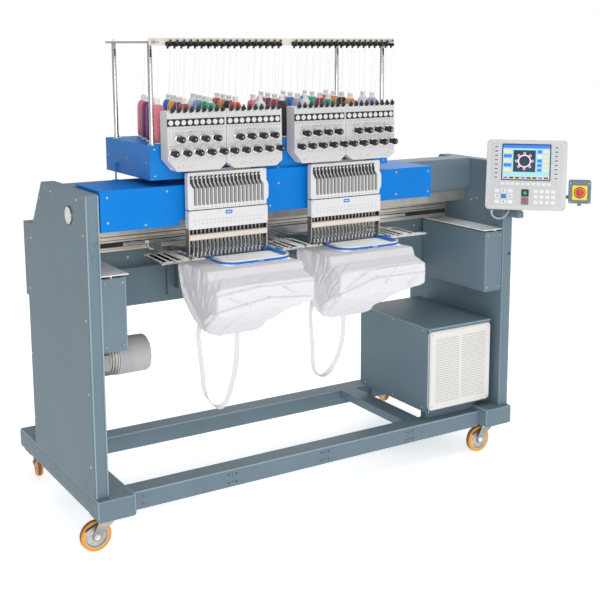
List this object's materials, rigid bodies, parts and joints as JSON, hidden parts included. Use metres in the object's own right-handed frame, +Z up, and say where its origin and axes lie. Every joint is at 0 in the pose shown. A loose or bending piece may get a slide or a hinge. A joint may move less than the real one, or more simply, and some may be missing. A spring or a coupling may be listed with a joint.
{
  "type": "multi-needle embroidery machine",
  "caption": "Floor-standing embroidery machine with sewing heads on a beam, free arms, a pantograph holding hooped bags, a thread stand, a cabinet and a swivelling control panel, on castors.",
  "frame": {"origin": "middle of the bounding box, on the floor", "axes": "+X to the operator's right along the heads, +Y from the operator to the back of the machine, +Z up"},
  "size_m": [2.3578, 1.2996, 1.966],
  "materials": {
    "frame_paint": "slate blue grey powder coat",
    "shelf_paint": "pale grey powder coat",
    "head_paint": "white enamel on a casting",
    "blue_paint": "satin azure paint",
    "bright_steel": "bright plated steel",
    "cast_alloy": "finned casting",
    "alloy_extrusion": "plain extrusion",
    "zinc_steel": "yellowish zinc plate",
    "grey_plastic": "moulded, fine grain",
    "head_plastic": "white moulded casing",
    "panel_plastic": "light grey moulding",
    "black_plastic": "black moulding",
    "blue_plastic": "blue hoop plastic",
    "red_plastic": "red moulding",
    "green_plastic": "green moulding",
    "orange_tread": "orange polyurethane",
    "black_rubber": "ribbed belt",
    "grey_cable": "grey cable jacket",
    "white_cotton": "plain woven cotton, white"
  },
  "bodies": {
    "frame": {"base_frame": "frame_paint", "tower_left": "frame_paint", "tower_left_cover": "frame_paint", "tower_right": "frame_paint", "upper_beam": "frame_paint", "bed": "frame_paint", "bed_arm_1": "frame_paint", "bed_arm_2": "frame_paint", "side_box_left": "frame_paint", "side_box_right": "frame_paint", "side_shelf_left": "shelf_paint", "side_shelf_right": "shelf_paint", "head_arm_1": "head_paint", "head_arm_2": "head_paint", "cover_left": "blue_paint", "cover_middle": "blue_paint", "cover_right": "blue_paint", "thread_box": "blue_paint", "thread_rack": "bright_steel", "thread_guides": "black_plastic", "main_motor": "cast_alloy", "motor_cowl": "grey_plastic", "drive_belt": "black_rubber", "cabinet": "frame_paint", "cabinet_grille": "grey_plastic"},
    "shaft": {"main_shaft": "bright_steel"},
    "motor_rotor": {"motor_pulley": "bright_steel"},
    "hook_1": {"rotary_hook_1": "bright_steel"},
    "hook_2": {"rotary_hook_2": "bright_steel"},
    "case_1": {"needle_case_1": "head_plastic", "tension_unit_1": "head_plastic", "needle_row_1": "bright_steel"},
    "case_2": {"needle_case_2": "head_plastic", "tension_unit_2": "head_plastic", "needle_row_2": "bright_steel"},
    "needle_1": {"active_needle_1": "bright_steel"},
    "needle_2": {"active_needle_2": "bright_steel"},
    "y_carriage": {"y_beam": "alloy_extrusion"},
    "x_carriage": {"x_bar": "alloy_extrusion", "hoop_holder_1": "bright_steel", "hoop_holder_2": "bright_steel", "hoop_1": "blue_plastic", "hoop_2": "blue_plastic", "bag_1": "white_cotton", "bag_2": "white_cotton"},
    "panel_arm": {"panel_bracket": "frame_paint", "switch_box": "frame_paint", "panel_cable": "grey_cable"},
    "panel": {"panel_housing": "panel_plastic"},
    "start": {"start_button": "green_plastic"},
    "stop": {"stop_button": "red_plastic"},
    "knob": {"switch_knob": "red_plastic"},
    "castor_front_left": {"castor_fork_front_left": "zinc_steel"},
    "wheel_front_left": {"castor_wheel_front_left": "orange_tread"},
    "castor_front_right": {"castor_fork_front_right": "zinc_steel"},
    "wheel_front_right": {"castor_wheel_front_right": "orange_tread"},
    "castor_rear_left": {"castor_fork_rear_left": "zinc_steel"},
    "wheel_rear_left": {"castor_wheel_rear_left": "orange_tread"},
    "castor_rear_right": {"castor_fork_rear_right": "zinc_steel"},
    "wheel_rear_right": {"castor_wheel_rear_right": "orange_tread"}
  },
  "joints": [
    {"name": "shaft_spin", "type": "hinge", "parent": "frame", "child": "shaft", "pos_m": [-0.53033, -0.15532, 1.307], "axis": [1, 0, 0], "continuous": true},
    {"name": "motor_spin", "type": "hinge", "parent": "frame", "child": "motor_rotor", "pos_m": [-1.09033, -0.04532, 0.696], "axis": [1, 0, 0], "continuous": true},
    {"name": "hook_1_spin", "type": "hinge", "parent": "frame", "child": "hook_1", "pos_m": [-0.53633, -0.34132, 1.048], "axis": [0, 1, 0], "continuous": true},
    {"name": "hook_2_spin", "type": "hinge", "parent": "frame", "child": "hook_2", "pos_m": [0.01467, -0.34132, 1.048], "axis": [0, 1, 0], "continuous": true},
    {"name": "needle_case_1_shift", "type": "slide", "parent": "frame", "child": "case_1", "axis": [1, 0, 0], "range_m": [-0.1204, 0.172]},
    {"name": "needle_case_2_shift", "type": "slide", "parent": "frame", "child": "case_2", "axis": [1, 0, 0], "range_m": [-0.1204, 0.172]},
    {"name": "needle_1_stroke", "type": "slide", "parent": "case_1", "child": "needle_1", "axis": [0, 0, 1], "range_m": [-0.013, 0]},
    {"name": "needle_2_stroke", "type": "slide", "parent": "case_2", "child": "needle_2", "axis": [0, 0, 1], "range_m": [-0.013, 0]},
    {"name": "pantograph_y", "type": "slide", "parent": "frame", "child": "y_carriage", "axis": [0, 1, 0], "range_m": [-0.2, 0.08]},
    {"name": "pantograph_x", "type": "slide", "parent": "y_carriage", "child": "x_carriage", "axis": [1, 0, 0], "range_m": [-0.2, 0.11]},
    {"name": "panel_swivel", "type": "hinge", "parent": "frame", "child": "panel_arm", "pos_m": [0.93567, -0.37932, 1.21], "axis": [0, 0, 1], "range_deg": [-12, 60]},
    {"name": "panel_tilt", "type": "hinge", "parent": "panel_arm", "child": "panel", "pos_m": [0.94922, -0.41276, 1.2937], "axis": [0.7071, -0.7071, 0], "range_deg": [-12, 14], "deforming": ["panel_cable"]},
    {"name": "start_press", "type": "slide", "parent": "panel", "child": "start", "axis": [0.6861, 0.6861, -0.2419], "range_m": [0, 0.003], "stiffness_N_per_m": 400},
    {"name": "stop_press", "type": "slide", "parent": "panel", "child": "stop", "axis": [0.6861, 0.6861, -0.2419], "range_m": [0, 0.003], "stiffness_N_per_m": 400},
    {"name": "main_switch_turn", "type": "hinge", "parent": "panel_arm", "child": "knob", "pos_m": [1.08837, -0.61444, 1.28], "axis": [0.7071, 0.7071, 0], "range_deg": [0, 90]},
    {"name": "castor_front_left_swivel", "type": "hinge", "parent": "frame", "child": "castor_front_left", "pos_m": [-1.07333, -0.26932, 0.13], "axis": [0, 0, 1], "continuous": true},
    {"name": "castor_front_left_roll", "type": "hinge", "parent": "castor_front_left", "child": "wheel_front_left", "pos_m": [-1.11733, -0.26932, 0.062], "axis": [0, 1, 0], "continuous": true},
    {"name": "castor_front_right_swivel", "type": "hinge", "parent": "frame", "child": "castor_front_right", "pos_m": [0.86067, -0.26932, 0.13], "axis": [0, 0, 1], "continuous": true},
    {"name": "castor_front_right_roll", "type": "hinge", "parent": "castor_front_right", "child": "wheel_front_right", "pos_m": [0.81667, -0.26932, 0.062], "axis": [0, 1, 0], "continuous": true},
    {"name": "castor_rear_left_swivel", "type": "hinge", "parent": "frame", "child": "castor_rear_left", "pos_m": [-1.07333, 0.54468, 0.13], "axis": [0, 0, 1], "continuous": true},
    {"name": "castor_rear_left_roll", "type": "hinge", "parent": "castor_rear_left", "child": "wheel_rear_left", "pos_m": [-1.06419, 0.58772, 0.062], "axis": [-0.9781, 0.2079, 0], "continuous": true},
    {"name": "castor_rear_right_swivel", "type": "hinge", "parent": "frame", "child": "castor_rear_right", "pos_m": [0.86067, 0.54468, 0.13], "axis": [0, 0, 1], "continuous": true},
    {"name": "castor_rear_right_roll", "type": "hinge", "parent": "castor_rear_right", "child": "wheel_rear_right", "pos_m": [0.86981, 0.58772, 0.062], "axis": [-0.9781, 0.2079, 0], "continuous": true}
  ],
  "couplings": [
    {"joint": "motor_spin", "follows": "shaft_spin", "ratio": 2},
    {"joint": "hook_1_spin", "follows": "shaft_spin", "ratio": 2},
    {"joint": "hook_2_spin", "follows": "shaft_spin", "ratio": 2},
    {"joint": "needle_case_2_shift", "follows": "needle_case_1_shift", "ratio": 1},
    {"joint": "needle_2_stroke", "follows": "needle_1_stroke", "ratio": 1}
  ]
}
